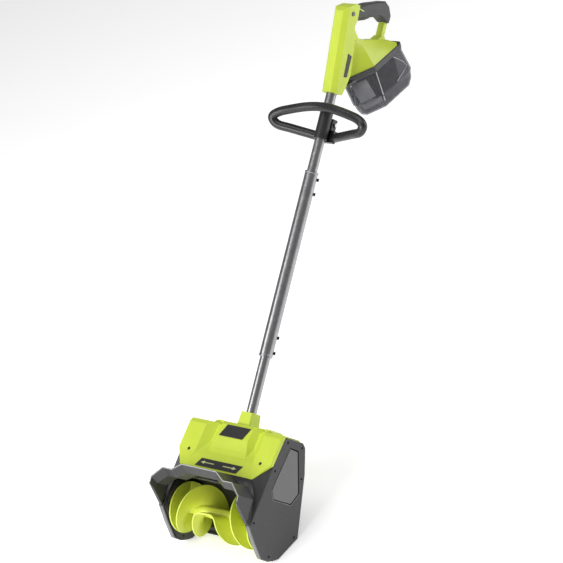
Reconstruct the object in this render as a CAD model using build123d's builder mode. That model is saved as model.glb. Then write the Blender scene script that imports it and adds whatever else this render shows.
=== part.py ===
from build123d import *
import math
import os

# ---------------------------------------------------------------------------
# Driving dimensions in mm.
# World frame: the scraper rests on Z = 0, the auger mouth looks toward -Y.
# Shaft frame: s runs up the shaft axis, f is the distance toward the front.
# ---------------------------------------------------------------------------
LEAN = 48.5
SHAFT_FOOT_Y = -121.5
SIN = math.sin(math.radians(LEAN))
COS = math.cos(math.radians(LEAN))
ALONG = (0, SIN, COS)
FRONT = (0, -COS, SIN)

WALL = 3.5
GAP = 0.4

# head
AUGER_S = 131.0
AUGER_R = 63.0
SCROLL_R = 69.5
MOUTH_HALF = 126.2
END_WALL = 4.0
SIDE_IN = 130.3
HALF_WIDTH = 145.0
AUGER_HALF = 124.5
AUGER_PITCH = 104.4
BLADE = 3.0
HUB_R = 13.0
AUGER_SHAFT_R = 6.0
BEARING_R = 14.0
COVER_TOP = 346.0
NECK_TOP = 382.0
SCRAPER_T = 3.0
SCRAPER_FRONT = -12.0
SCRAPER_REAR = 36.0

# drive
MOTOR_S = 243.0
MOTOR_R = 29.0
MOTOR_X0 = -66.0
MOTOR_X1 = 14.0
PULLEY_X0 = -139.5
PULLEY_T = 7.0
MOTOR_PULLEY_R = 11.0
AUGER_PULLEY_R = 33.0
BELT_T = 2.4

# tubes
TUBE_R = 12.7
TUBE_WALL = 1.5
COUPLER_R = 16.6
SOCKET_S = 292.0
COUPLER_S0 = 521.0
COUPLER_S1 = 982.0
UPPER_TUBE_END = 1296.0
SCREW_STATIONS = (534.0, 572.0, 930.0, 966.0)

# loop handle
LOOP_R = 11.3
CLAMP_R = 16.2
CLAMP_S0 = 1092.0
CLAMP_S1 = 1132.0
CLAMP_BOLT_S = 1107.0
CLAMP_BOLT_F = -24.0

# rear handle
BODY_HALF = 22.5
GRIP_HALF = 16.5
STRUT_HALF = 9.0
BRIDGE_HALF = 13.0
SHELL_WALL = 3.0
TRIGGER_PIVOT = (1392.0, -14.0)
LOCK_AT = (1376.0, 20.0)
OVERMOULD = 4.0

# battery bay
RIM_Z0 = 775.0
RIM_Z1 = 788.0
STEP_Z = 706.0
BOX_FLOOR_Z = 668.0
BOX_WALL = 2.6
BAY_MID_Y = 930.0
HINGE_Y = 815.5
HINGE_Z = 770.0


def side_plane(x):
    """Plane across the machine at x; sketch axes are (s, f)."""
    return Plane(origin=(x, SHAFT_FOOT_Y, 0), x_dir=ALONG, z_dir=(1, 0, 0))


def cross_plane(s):
    """Plane square to the shaft at s; sketch axes are (x, behind)."""
    origin = (0, SHAFT_FOOT_Y + s * SIN, s * COS)
    return Plane(origin=origin, x_dir=(1, 0, 0), z_dir=ALONG)


def front_plane(f):
    """Plane parallel to the shaft at f, facing forward; axes are (x, s)."""
    origin = (0, SHAFT_FOOT_Y - f * COS, f * SIN)
    return Plane(origin=origin, x_dir=(1, 0, 0), z_dir=FRONT)


def world(x, s, f):
    """Shaft-frame point as world coordinates."""
    return (x, SHAFT_FOOT_Y + s * SIN - f * COS, s * COS + f * SIN)


def from_ground(y, z):
    """World point in the symmetry plane as (s, f)."""
    s = (y - SHAFT_FOOT_Y) * SIN + z * COS
    f = z * SIN - (y - SHAFT_FOOT_Y) * COS
    return (s, f)


def mirrored(points):
    """Right-hand outline points followed by their left-hand twins."""
    return list(points) + [(-x, y) for x, y in reversed(points)]


def patch_solid(outer, shift):
    """Thin solid under a fan of triangles, thickened by a shift vector."""
    inner = [tuple(p[i] + shift[i] for i in range(3)) for p in outer]
    faces = []
    n = len(outer)
    for k in range(1, n - 1):
        faces.append(Face(Wire.make_polygon([outer[0], outer[k], outer[k + 1]])))
        faces.append(Face(Wire.make_polygon([inner[0], inner[k + 1], inner[k]])))
    for k in range(n):
        j = (k + 1) % n
        faces.append(Face(Wire.make_polygon([outer[k], inner[k], outer[j]])))
        faces.append(Face(Wire.make_polygon([outer[j], inner[k], inner[j]])))
    return Solid(Shell(faces))


def save(part, name):
    """Label one finished piece and write its file."""
    part.label = name
    export_step(part, "parts/" + name + ".step")


os.makedirs("parts", exist_ok=True)

# ---------------------------------------------------------------------------
# Side covers: faceted plates closing both ends of the head
# ---------------------------------------------------------------------------
GROUND_FRONT = from_ground(-39.0, 0.0)
GROUND_REAR = from_ground(39.0, 0.0)
RIDGE_LOW = (118.0, 78.0)
RIDGE_HIGH = (267.0, 48.0)
SHOULDER_END = (340.0, 29.0)
SIDE_OUTLINE = [
    GROUND_FRONT,
    GROUND_REAR,
    (271.0, -74.0),
    (331.0, -52.0),
    (340.0, -40.0),
    SHOULDER_END,
    RIDGE_HIGH,
    RIDGE_LOW,
    (84.0, 44.0),
    (52.0, 7.0),
    (50.5, -18.0),
    (55.0, -38.0),
]
PANEL_OUTLINE = [
    (321.0, 4.0),
    (319.0, -30.0),
    (221.0, -71.0),
    (191.0, -50.0),
    (191.0, 19.0),
    (214.0, 34.0),
]
SIDE_SCREWS = [
    (330.0, 17.0),
    (328.0, -39.0),
    (258.0, 38.0),
    (258.0, -64.0),
    (129.0, 68.0),
    (121.0, -90.0),
    (62.0, -16.0),
]
CHEEK_INNER_X = 114.0
CHEEK_CORNER = (225.0, 75.0)
WING_MID = (185.0, 82.0)
WING_TIP = (121.0, 82.0)

cheek = patch_solid(
    [
        world(HALF_WIDTH, *RIDGE_LOW),
        world(HALF_WIDTH, *RIDGE_HIGH),
        world(CHEEK_INNER_X, *CHEEK_CORNER),
        world(139.0, *WING_MID),
        world(139.5, *WING_TIP),
    ],
    (-4.5, 0.5, -3.0),
)

with BuildPart() as side_cover_right:
    with BuildSketch(side_plane(SIDE_IN)):
        Polygon(*SIDE_OUTLINE, align=None)
    extrude(amount=HALF_WIDTH - SIDE_IN)
    corner_edges = side_cover_right.edges().filter_by(Axis.X)
    fillet(corner_edges.group_by(Axis.Z)[-1], radius=3)
    outer_face = side_cover_right.faces().sort_by(Axis.X)[-1]
    chamfer(outer_face.edges(), length=1.6)
    with BuildSketch(side_plane(SIDE_IN)):
        with BuildLine():
            Polyline(*SIDE_OUTLINE, close=True)
        make_face()
        offset(amount=-WALL, kind=Kind.INTERSECTION, mode=Mode.REPLACE)
    extrude(amount=HALF_WIDTH - SIDE_IN - WALL, mode=Mode.SUBTRACT)
    with BuildSketch(side_plane(HALF_WIDTH - 2.4)):
        Polygon(*PANEL_OUTLINE, align=None)
    extrude(amount=4, mode=Mode.SUBTRACT)
    for s, f in SIDE_SCREWS:
        with BuildSketch(side_plane(SIDE_IN)):
            with Locations((s, f)):
                Circle(5.2)
        extrude(amount=HALF_WIDTH - SIDE_IN - 1)
        with BuildSketch(side_plane(HALF_WIDTH - 3.6)):
            with Locations((s, f)):
                Circle(3.6)
        extrude(amount=5, mode=Mode.SUBTRACT)
        with BuildSketch(side_plane(SIDE_IN)):
            with Locations((s, f)):
                Circle(1.7)
        extrude(amount=20, mode=Mode.SUBTRACT)
    add(cheek)
save(side_cover_right.part, "side_cover_right")

with BuildPart() as side_cover_left:
    mirror(side_cover_right.part, about=Plane.YZ)
save(side_cover_left.part, "side_cover_left")

with BuildPart() as side_panel_right:
    with BuildSketch(side_plane(HALF_WIDTH - 2.4)):
        with BuildLine():
            Polyline(*PANEL_OUTLINE, close=True)
        make_face()
        offset(amount=-3.2, kind=Kind.INTERSECTION, mode=Mode.REPLACE)
    extrude(amount=1.8)
    top_face = side_panel_right.faces().sort_by(Axis.X)[-1]
    chamfer(top_face.edges(), length=0.8)
save(side_panel_right.part, "side_panel_right")

with BuildPart() as side_panel_left:
    mirror(side_panel_right.part, about=Plane.YZ)
save(side_panel_left.part, "side_panel_left")

with BuildPart() as side_cover_screws:
    for s, f in SIDE_SCREWS:
        with BuildSketch(side_plane(HALF_WIDTH - 3.6)):
            with Locations((s, f)):
                Circle(3.2)
        extrude(amount=2.2)
        with BuildSketch(side_plane(HALF_WIDTH - 2.4)):
            with Locations((s, f)):
                RegularPolygon(1.5, 6)
        extrude(amount=2, mode=Mode.SUBTRACT)
        with BuildSketch(side_plane(HALF_WIDTH - 13.9)):
            with Locations((s, f)):
                Circle(1.68)
        extrude(amount=10.3)
    mirror(about=Plane.YZ)
save(side_cover_screws.part, "side_cover_screws")

# ---------------------------------------------------------------------------
# Auger housing: scroll, ceiling, rear wall, floor, end walls, tube socket
# ---------------------------------------------------------------------------
LIP = (98.0, -66.0)
with BuildPart() as auger_housing:
    with BuildSketch(side_plane(-MOUTH_HALF)):
        with Locations((AUGER_S, 0)):
            Circle(SCROLL_R + WALL)
            Circle(SCROLL_R, mode=Mode.SUBTRACT)
        Polygon((0, 0), (300, 0), (300, 90), (0, 90), align=None, mode=Mode.SUBTRACT)
        Polygon((0, 1), (LIP[0], 1), LIP, (0, -66), align=None, mode=Mode.SUBTRACT)
        Polygon(
            (AUGER_S + SCROLL_R, -2),
            (AUGER_S + SCROLL_R + WALL, -2),
            (AUGER_S + SCROLL_R + WALL, 75),
            (AUGER_S + SCROLL_R, 75),
            align=None,
        )
        Polygon(
            (124, -101),
            (269, -70),
            (322, -51),
            (321, -47),
            (268, -66),
            (124, -96),
            align=None,
        )
    extrude(amount=2 * MOUTH_HALF)
    with BuildSketch(side_plane(-MOUTH_HALF)):
        Polygon(
            from_ground(-5.0, SCRAPER_T + 0.02),
            from_ground(35.0, SCRAPER_T + 0.02),
            (124, -99),
            (140, -72),
            LIP,
            align=None,
        )
        with Locations((AUGER_S, 0)):
            Circle(SCROLL_R, mode=Mode.SUBTRACT)
    extrude(amount=2 * MOUTH_HALF)
    for x in (-MOUTH_HALF - END_WALL, MOUTH_HALF):
        with BuildSketch(side_plane(x)):
            with BuildLine():
                Polyline(*SIDE_OUTLINE, close=True)
            make_face()
            offset(amount=-WALL - 0.3, kind=Kind.INTERSECTION, mode=Mode.REPLACE)
            with Locations((AUGER_S, 0)):
                Circle(BEARING_R, mode=Mode.SUBTRACT)
            with Locations((MOTOR_S, 0)):
                Circle(8, mode=Mode.SUBTRACT)
            with Locations(*SIDE_SCREWS):
                Circle(2.2, mode=Mode.SUBTRACT)
        extrude(amount=END_WALL)
    with BuildSketch(cross_plane(SOCKET_S - 4)):
        Polygon((-126, -28), (126, -28), (126, 56), (-126, 56), align=None)
    extrude(amount=4)
    with BuildSketch(cross_plane(SOCKET_S)):
        RectangleRounded(46, 46, 6)
    extrude(amount=48)
    for x in (MOTOR_X0 - 3, MOTOR_X1):
        with BuildSketch(side_plane(x)):
            Polygon((200, 22), (289, 22), (289, -60), (200, -60), align=None)
            with Locations((MOTOR_S, 0)):
                Circle(9, mode=Mode.SUBTRACT)
            with Locations((AUGER_S, 0)):
                Circle(SCROLL_R, mode=Mode.SUBTRACT)
        extrude(amount=3)
    with BuildSketch(cross_plane(SOCKET_S - 4)):
        Circle(TUBE_R + 0.05)
    extrude(amount=60, mode=Mode.SUBTRACT)
    with BuildSketch(Plane.XY):
        with GridLocations(70, 30, 4, 1):
            with Locations((0, 22)):
                Circle(2.1)
    extrude(amount=14, mode=Mode.SUBTRACT)
    add(cheek, mode=Mode.SUBTRACT)
    add(mirror(cheek, about=Plane.YZ, mode=Mode.PRIVATE), mode=Mode.SUBTRACT)
housing_body = auger_housing.part.solids().sort_by(SortBy.VOLUME)[-1]
with BuildPart() as auger_housing:
    add(housing_body)
save(auger_housing.part, "auger_housing")

with BuildPart() as scraper_blade:
    with BuildSketch(Plane.YZ.offset(-MOUTH_HALF + 0.5)):
        Polygon(
            (SCRAPER_FRONT, 0),
            (SCRAPER_REAR, 0),
            (SCRAPER_REAR, SCRAPER_T),
            (SCRAPER_FRONT + 4, SCRAPER_T),
            align=None,
        )
    extrude(amount=2 * MOUTH_HALF - 1)
    with BuildSketch(Plane.XY):
        with GridLocations(70, 30, 4, 1):
            with Locations((0, 22)):
                Circle(2.2)
    extrude(amount=SCRAPER_T, mode=Mode.SUBTRACT)
    with BuildSketch(Plane.XY):
        with GridLocations(70, 30, 4, 1):
            with Locations((0, 22)):
                Circle(4.4)
    extrude(amount=1.8, mode=Mode.SUBTRACT)
save(scraper_blade.part, "scraper_blade")

with BuildPart() as scraper_screws:
    with BuildSketch(Plane.XY.offset(0.3)):
        with GridLocations(70, 30, 4, 1):
            with Locations((0, 22)):
                Circle(4.1)
    extrude(amount=1.5)
    with BuildSketch(Plane.XY.offset(1.8)):
        with GridLocations(70, 30, 4, 1):
            with Locations((0, 22)):
                Circle(2.05)
    extrude(amount=9)
save(scraper_screws.part, "scraper_screws")

# ---------------------------------------------------------------------------
# Visor: deflector frame round the upper half of the mouth
# ---------------------------------------------------------------------------
VISOR_FRONT = 137.0
VISOR_REAR = 75.0
VISOR_OUTER = [(55, 224), (82, 207), (111, 207), (139, 180), (139, 121)]
VISOR_RIM = [(53.5, 221), (80, 204), (109, 204), (136, 178), (136, 121)]
VISOR_INNER = [(48, 205.5), (76, 190), (104, 190), (131, 168), (131, 121)]
with BuildPart() as visor:
    with BuildSketch(front_plane(VISOR_REAR)):
        Polygon(*mirrored(VISOR_OUTER), align=None)
        Polygon(*mirrored(VISOR_INNER), align=None, mode=Mode.SUBTRACT)
    extrude(amount=VISOR_FRONT - VISOR_REAR)
    with BuildSketch(front_plane(118.0)):
        Polygon(*mirrored(VISOR_INNER), align=None)
    with BuildSketch(front_plane(VISOR_FRONT + 0.5)):
        Polygon(*mirrored(VISOR_RIM), align=None)
    loft(ruled=True, mode=Mode.SUBTRACT)
    with BuildSketch(side_plane(-HALF_WIDTH)):
        Polygon((162, 140), (162, 137), (121, 83), (119, 83), (119, 140), align=None)
    extrude(amount=2 * HALF_WIDTH, mode=Mode.SUBTRACT)
    with BuildSketch(side_plane(-HALF_WIDTH)):
        Polygon((119, 74), (119, 83.5), (184, 83.5), (206, 78.5), (206, 74), align=None)
    extrude(amount=2 * HALF_WIDTH, mode=Mode.SUBTRACT)
    with BuildSketch(front_plane(VISOR_REAR)):
        Polygon((-51, 209), (51, 209), (51, 220.5), (-51, 220.5), align=None)
    extrude(amount=38, mode=Mode.SUBTRACT)
save(visor.part, "visor")

# ---------------------------------------------------------------------------
# Top cover: valley skin, two shoulders, central box, humps and tube neck
# ---------------------------------------------------------------------------
COVER_REAR = -62.0
VALLEY = [
    (226, 75.5),
    (262, 58),
    (283, 43),
    (296, 36),
    (338, 24),
    (344, 16),
    (344, -40),
    (336, -52),
    (296, COVER_REAR - 6),
    (296, COVER_REAR),
    (226, 60),
]
SHOULDER = [(225.5, 75.5), (266, 59), (333, 43), (343, 35), (343, 16), (262, 40), (226, 66)]
SHOULDER_POCKET = [(268, 46), (331, 38.5), (339.5, 32), (339.5, 10), (262, 10)]
CENTRE_BOX = [(262, 54), (284, 49), (312, 46), (342, 35.5), (350, 27), (350, -24), (262, -24)]
BOX_TOP_HALF = 48.0
BOX_FOOT_HALF = 64.0
SHOULDER_TOP_X = 92.0
SHOULDER_FOOT_X = 68.0


def sloping_side(top_a, top_b, foot):
    """Plane through three shaft-frame points, facing the far side of the foot."""
    a, b, c = (Vector(*world(*p)) for p in (top_a, top_b, foot))
    return Plane(origin=a, x_dir=(b - a), z_dir=(b - a).cross(c - a))


with BuildPart() as shoulder:
    with BuildSketch(side_plane(SHOULDER_FOOT_X - 2)):
        Polygon(*SHOULDER, align=None)
    extrude(amount=HALF_WIDTH - SHOULDER_FOOT_X + 2)
    split(
        bisect_by=sloping_side(
            (SHOULDER_TOP_X, 266, 59), (SHOULDER_TOP_X, 333, 43), (SHOULDER_FOOT_X, 333, 25)
        ),
        keep=Keep.BOTTOM,
    )
with BuildPart() as centre_box:
    with BuildSketch(side_plane(-BOX_FOOT_HALF - 2)):
        Polygon(*CENTRE_BOX, align=None)
    extrude(amount=2 * BOX_FOOT_HALF + 4)
    split(
        bisect_by=sloping_side((BOX_TOP_HALF, 312, 46), (BOX_TOP_HALF, 342, 35.5), (BOX_FOOT_HALF, 312, 31)),
        keep=Keep.TOP,
    )
    split(
        bisect_by=sloping_side((-BOX_TOP_HALF, 312, 46), (-BOX_TOP_HALF, 342, 35.5), (-BOX_FOOT_HALF, 312, 31)),
        keep=Keep.BOTTOM,
    )
with BuildPart() as top_cover:
    with BuildSketch(side_plane(-SIDE_IN)):
        Polygon(*VALLEY, align=None)
    extrude(amount=2 * SIDE_IN)
    add(shoulder.part)
    add(mirror(shoulder.part, about=Plane.YZ, mode=Mode.PRIVATE))
    add(centre_box.part)
    for x in (-74, 74):
        with BuildSketch(front_plane(-30)):
            with Locations((x, 328)):
                Circle(24)
        extrude(amount=46)
    with BuildSketch(cross_plane(340)):
        RectangleRounded(42, 42, 5)
    with BuildSketch(cross_plane(NECK_TOP)):
        RectangleRounded(36, 36, 5)
    loft()
    # inside hollow
    with BuildSketch(side_plane(-MOUTH_HALF - 0.1)):
        Polygon(
            (220, 74),
            (260, 55),
            (281, 39.5),
            (296, 32),
            (335, 20.5),
            (340.5, 12),
            (340.5, -38),
            (333, -48.5),
            (290, -70),
            (220, -20),
            align=None,
        )
    extrude(amount=2 * MOUTH_HALF + 0.2, mode=Mode.SUBTRACT)
    with BuildSketch(side_plane(-45)):
        Polygon((262, 48), (284, 45), (311, 42), (340, 32), (346, 25), (346, -20), (262, -20), align=None)
    extrude(amount=90, mode=Mode.SUBTRACT)
    for x0 in (-MOUTH_HALF, SHOULDER_TOP_X + 2):
        with BuildSketch(side_plane(x0)):
            Polygon(*SHOULDER_POCKET, align=None)
        extrude(amount=MOUTH_HALF - SHOULDER_TOP_X - 2, mode=Mode.SUBTRACT)
    # sloping side corners down to the cheeks
    for side in (-1, 1):
        with BuildSketch(front_plane(0)):
            Polygon(
                (side * (HALF_WIDTH + 1), 268.3),
                (side * CHEEK_INNER_X, 225.4),
                (side * CHEEK_INNER_X, 215),
                (side * (HALF_WIDTH + 1), 215),
                align=None,
            )
        extrude(amount=90, mode=Mode.SUBTRACT)
    # side plates pass outside the body of the cover
    for x in (-HALF_WIDTH - 1, 125.5):
        with BuildSketch(side_plane(x)):
            with BuildLine():
                Polyline(*SIDE_OUTLINE, close=True)
            make_face()
            offset(amount=0.5, kind=Kind.INTERSECTION, mode=Mode.REPLACE)
        extrude(amount=20.5, mode=Mode.SUBTRACT)
    with BuildSketch(cross_plane(335)):
        Circle(TUBE_R + 0.3)
    extrude(amount=60, mode=Mode.SUBTRACT)
    add(cheek, mode=Mode.SUBTRACT)
    add(mirror(cheek, about=Plane.YZ, mode=Mode.PRIVATE), mode=Mode.SUBTRACT)
    for x in (-113, 113):
        with BuildSketch(front_plane(30)):
            with Locations((x, 266.7)):
                Circle(2.0)
        extrude(amount=50, mode=Mode.SUBTRACT)
        with BuildSketch(front_plane(54)):
            with Locations((x, 266.7)):
                Circle(4.2)
        extrude(amount=20, mode=Mode.SUBTRACT)
save(top_cover.part, "top_cover")

with BuildPart() as cover_screws:
    for x in (-113, 113):
        with BuildSketch(front_plane(54.1)):
            with Locations((x, 266.7)):
                Circle(3.8)
        extrude(amount=2.4)
        with BuildSketch(front_plane(40)):
            with Locations((x, 266.7)):
                Circle(1.9)
        extrude(amount=14.1)
save(cover_screws.part, "cover_screws")

# Blank label plates
with BuildPart() as head_badge:
    badge_normal = Vector(*FRONT) * math.cos(0.337) + Vector(*ALONG) * math.sin(0.337)
    badge_plane = Plane(origin=world(0, 327.0, 41.2), x_dir=(1, 0, 0), z_dir=badge_normal)
    with BuildSketch(badge_plane):
        Polygon((-31, 16), (42, 16), (31, -15), (-42, -15), align=None)
    extrude(amount=1.2)
save(head_badge.part, "head_badge")

with BuildPart() as width_badge:
    low_normal = Vector(*FRONT) * math.cos(0.452) + Vector(*ALONG) * math.sin(0.452)
    low_plane = Plane(origin=world(0, 240.5, 68.7), x_dir=(1, 0, 0), z_dir=low_normal)
    with BuildSketch(low_plane):
        Polygon((-60, 11), (69, 11), (60, -11), (-69, -11), align=None)
    extrude(amount=1.2)
    arrow_plane = low_plane.offset(1.2)
    for side in (-1, 1):
        with BuildSketch(arrow_plane):
            Polygon(
                (side * 14, 1.2),
                (side * 44, 1.2),
                (side * 44, 4.5),
                (side * 56, 0),
                (side * 44, -4.5),
                (side * 44, -1.2),
                (side * 14, -1.2),
                align=None,
            )
        extrude(amount=0.6)
save(width_badge.part, "width_badge")

# ---------------------------------------------------------------------------
# Auger: two opposite-hand flights, end rims, centre paddle on one hub
# ---------------------------------------------------------------------------
AXIS_Y = SHAFT_FOOT_Y + AUGER_S * SIN
AXIS_Z = AUGER_S * COS
FLIGHT_X = AUGER_HALF - BLADE
LEFT_START = 40.0
RIGHT_START = -50.0
PADDLE_ANGLE = 125.0
PADDLE_X0 = -45.4
PADDLE_X1 = 18.8
MID_R = (AUGER_R + HUB_R) / 2


def radial(angle):
    """Unit vector from straight down, turning toward the front."""
    a = math.radians(angle)
    return Vector(0, -math.sin(a), -math.cos(a))


def flight(length, left_hand):
    """One helical blade round +Z, starting on +X."""
    with BuildPart() as blade:
        with BuildLine():
            Helix(AUGER_PITCH, length, MID_R, lefthand=left_hand)
        with BuildSketch(Plane(origin=(MID_R, 0, 0), x_dir=(1, 0, 0), z_dir=(0, 1, 0))):
            Rectangle(AUGER_R - HUB_R + 6, BLADE)
        sweep(is_frenet=True)
    return blade.part


left_flight = flight(FLIGHT_X + PADDLE_X0, True)
right_flight = flight(FLIGHT_X - PADDLE_X1, False)
with BuildPart() as auger:
    with BuildSketch(Plane.YZ.offset(-AUGER_HALF)):
        with Locations((AXIS_Y, AXIS_Z)):
            Circle(HUB_R)
    extrude(amount=2 * AUGER_HALF)
    for turn in (0, 180):
        left_frame = Plane(
            origin=(-FLIGHT_X, AXIS_Y, AXIS_Z),
            x_dir=radial(LEFT_START + turn),
            z_dir=(1, 0, 0),
        )
        add(left_flight.moved(left_frame.location))
        right_frame = Plane(
            origin=(FLIGHT_X, AXIS_Y, AXIS_Z),
            x_dir=radial(RIGHT_START + turn),
            z_dir=(-1, 0, 0),
        )
        add(right_flight.moved(right_frame.location))
        paddle_frame = Plane(
            origin=(PADDLE_X0 - 2, AXIS_Y, AXIS_Z),
            x_dir=radial(PADDLE_ANGLE + turn),
            z_dir=(1, 0, 0),
        )
        with BuildSketch(paddle_frame):
            with Locations((AUGER_R / 2, 0)):
                Rectangle(AUGER_R, BLADE)
        extrude(amount=PADDLE_X1 - PADDLE_X0 + 4)
    for x in (-AUGER_HALF, AUGER_HALF - BLADE):
        with BuildSketch(Plane.YZ.offset(x)):
            with Locations((AXIS_Y, AXIS_Z)):
                Circle(AUGER_R)
        extrude(amount=BLADE)
    with BuildSketch(Plane.YZ.offset(-AUGER_HALF)):
        with Locations((AXIS_Y, AXIS_Z)):
            Circle(AUGER_SHAFT_R + 0.02)
    extrude(amount=2 * AUGER_HALF, mode=Mode.SUBTRACT)
    with BuildSketch(Plane.YZ.offset(-AUGER_HALF)):
        with Locations((AXIS_Y, AXIS_Z)):
            Circle(AUGER_R + 30)
            Circle(AUGER_R, mode=Mode.SUBTRACT)
    extrude(amount=2 * AUGER_HALF, mode=Mode.SUBTRACT)
save(auger.part, "auger")

with BuildPart() as auger_shaft:
    with BuildSketch(Plane.YZ.offset(-140.8)):
        with Locations((AXIS_Y, AXIS_Z)):
            Circle(AUGER_SHAFT_R)
    extrude(amount=280)
save(auger_shaft.part, "auger_shaft")

with BuildPart() as auger_bearings:
    for x in (-MOUTH_HALF - END_WALL, MOUTH_HALF):
        with BuildSketch(Plane.YZ.offset(x)):
            with Locations((AXIS_Y, AXIS_Z)):
                Circle(BEARING_R - 0.02)
                Circle(AUGER_SHAFT_R + 0.04, mode=Mode.SUBTRACT)
        extrude(amount=END_WALL)
save(auger_bearings.part, "auger_bearings")

# ---------------------------------------------------------------------------
# Drive: motor, shaft, two pulleys and a flat belt
# ---------------------------------------------------------------------------
with BuildPart() as drive_motor:
    with BuildSketch(side_plane(MOTOR_X0)):
        with Locations((MOTOR_S, 0)):
            Circle(MOTOR_R)
            Circle(4.2, mode=Mode.SUBTRACT)
    extrude(amount=MOTOR_X1 - MOTOR_X0)
    with BuildSketch(side_plane(MOTOR_X0 + 6)):
        with Locations((MOTOR_S, 0)):
            Circle(MOTOR_R - 3)
    extrude(amount=MOTOR_X1 - MOTOR_X0 - 12, mode=Mode.SUBTRACT)
save(drive_motor.part, "drive_motor")

with BuildPart() as motor_rotor:
    with BuildSketch(side_plane(-140.5)):
        with Locations((MOTOR_S, 0)):
            Circle(4)
    extrude(amount=140.5 + MOTOR_X1 - 4)
    with BuildSketch(side_plane(MOTOR_X0 + 14)):
        with Locations((MOTOR_S, 0)):
            Circle(MOTOR_R - 5)
    extrude(amount=48)
save(motor_rotor.part, "motor_rotor")


def pulley(s, radius, bore):
    """Flanged belt pulley standing at s on the drive side."""
    with BuildPart() as wheel:
        with BuildSketch(side_plane(PULLEY_X0)):
            with Locations((s, 0)):
                Circle(radius + 2)
                Circle(bore, mode=Mode.SUBTRACT)
        extrude(amount=PULLEY_T)
        with BuildSketch(side_plane(PULLEY_X0 + 1)):
            with Locations((s, 0)):
                Circle(radius + 3)
                Circle(radius, mode=Mode.SUBTRACT)
        extrude(amount=PULLEY_T - 2, mode=Mode.SUBTRACT)
    return wheel.part


save(pulley(MOTOR_S, MOTOR_PULLEY_R, 4.02), "motor_pulley")
save(pulley(AUGER_S, AUGER_PULLEY_R, AUGER_SHAFT_R + 0.02), "auger_pulley")


def belt_loop(clear):
    """Closed belt outline round both pulleys at a given clearance."""
    big = AUGER_PULLEY_R + clear
    small = MOTOR_PULLEY_R + clear
    lean = math.asin((big - small) / (MOTOR_S - AUGER_S))
    c, d = math.cos(lean), math.sin(lean)
    low = (AUGER_S + big * d, big * c)
    high = (MOTOR_S + small * d, small * c)
    with BuildLine() as loop:
        Line(low, high)
        ThreePointArc(high, (MOTOR_S + small, 0), (high[0], -high[1]))
        Line((high[0], -high[1]), (low[0], -low[1]))
        ThreePointArc((low[0], -low[1]), (AUGER_S - big, 0), low)
    return loop.line


with BuildPart() as drive_belt:
    with BuildSketch(side_plane(PULLEY_X0 + 1.4)):
        add(make_face(belt_loop(GAP + BELT_T).edges(), mode=Mode.PRIVATE))
        add(make_face(belt_loop(GAP).edges(), mode=Mode.PRIVATE), mode=Mode.SUBTRACT)
    extrude(amount=PULLEY_T - 2.8)
save(drive_belt.part, "drive_belt")

# ---------------------------------------------------------------------------
# Shaft tubes
# ---------------------------------------------------------------------------
JOINT_S = 750.0


def tube(s0, s1, radius, wall):
    """Straight round tube along the shaft."""
    with BuildPart() as pipe:
        with BuildSketch(cross_plane(s0)):
            Circle(radius)
            Circle(radius - wall, mode=Mode.SUBTRACT)
        extrude(amount=s1 - s0)
    return pipe.part


save(tube(SOCKET_S - 2, JOINT_S - 1, TUBE_R, TUBE_WALL), "lower_tube")
save(tube(JOINT_S + 1, UPPER_TUBE_END, TUBE_R, TUBE_WALL), "upper_tube")

with BuildPart() as coupler_tube:
    with BuildSketch(side_plane(0)):
        with BuildLine():
            Polyline(
                (COUPLER_S0, TUBE_R + 0.02),
                (COUPLER_S0, COUPLER_R + 0.6),
                (COUPLER_S0 + 4, COUPLER_R + 0.6),
                (COUPLER_S0 + 5, COUPLER_R),
                (COUPLER_S1 - 5, COUPLER_R - 0.4),
                (COUPLER_S1 - 4, COUPLER_R + 0.4),
                (COUPLER_S1, COUPLER_R + 0.4),
                (COUPLER_S1, TUBE_R + 0.02),
                close=True,
            )
        make_face()
    revolve(axis=Axis((0, SHAFT_FOOT_Y, 0), ALONG))
    for s in SCREW_STATIONS:
        with BuildSketch(Plane(origin=world(0, s, 0), z_dir=(COS, COS * SIN, -SIN * SIN))):
            Circle(2.6)
        extrude(amount=30, mode=Mode.SUBTRACT)
save(coupler_tube.part, "coupler_tube")

with BuildPart() as coupler_screws:
    for s in SCREW_STATIONS:
        screw_plane = Plane(origin=world(0, s, 0), z_dir=(COS, COS * SIN, -SIN * SIN))
        with BuildSketch(screw_plane.offset(TUBE_R + 0.4)):
            Circle(2.5)
        extrude(amount=COUPLER_R - TUBE_R + 1)
        with BuildSketch(screw_plane.offset(COUPLER_R + 0.5)):
            Circle(4.2)
        extrude(amount=4)
save(coupler_screws.part, "coupler_screws")

with BuildPart() as power_cable:
    with BuildSketch(cross_plane(SOCKET_S + 4)):
        Circle(3.5)
    extrude(amount=UPPER_TUBE_END - SOCKET_S)
save(power_cable.part, "power_cable")

# ---------------------------------------------------------------------------
# Loop handle on its sliding clamp
# ---------------------------------------------------------------------------
LOOP_POINTS = [
    (0, 1138, 26.5),
    (60, 1131, 29),
    (100, 1122, 29),
    (129, 1112, 30),
    (141, 1101, 28),
    (136, 1091, 22),
    (110, 1084, 10),
    (74, 1081, -5),
    (31, 1077, -22),
    (0, 1076, -29),
]
with BuildPart() as loop_handle:
    with BuildLine():
        Spline(*[world(*p) for p in LOOP_POINTS], tangents=[(1, 0, 0), (-1, 0, 0)])
    with BuildSketch(Plane(origin=world(*LOOP_POINTS[0]), x_dir=(0, 1, 0), z_dir=(1, 0, 0))):
        Circle(LOOP_R)
    sweep()
    with BuildSketch(cross_plane(1062)):
        with Locations((11, 24)):
            Rectangle(22, 14)
    extrude(amount=30)
    with BuildSketch(cross_plane(1040)):
        Circle(CLAMP_R + GAP)
    extrude(amount=120, mode=Mode.SUBTRACT)
    mirror(about=Plane.YZ)
save(loop_handle.part, "loop_handle")

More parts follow.
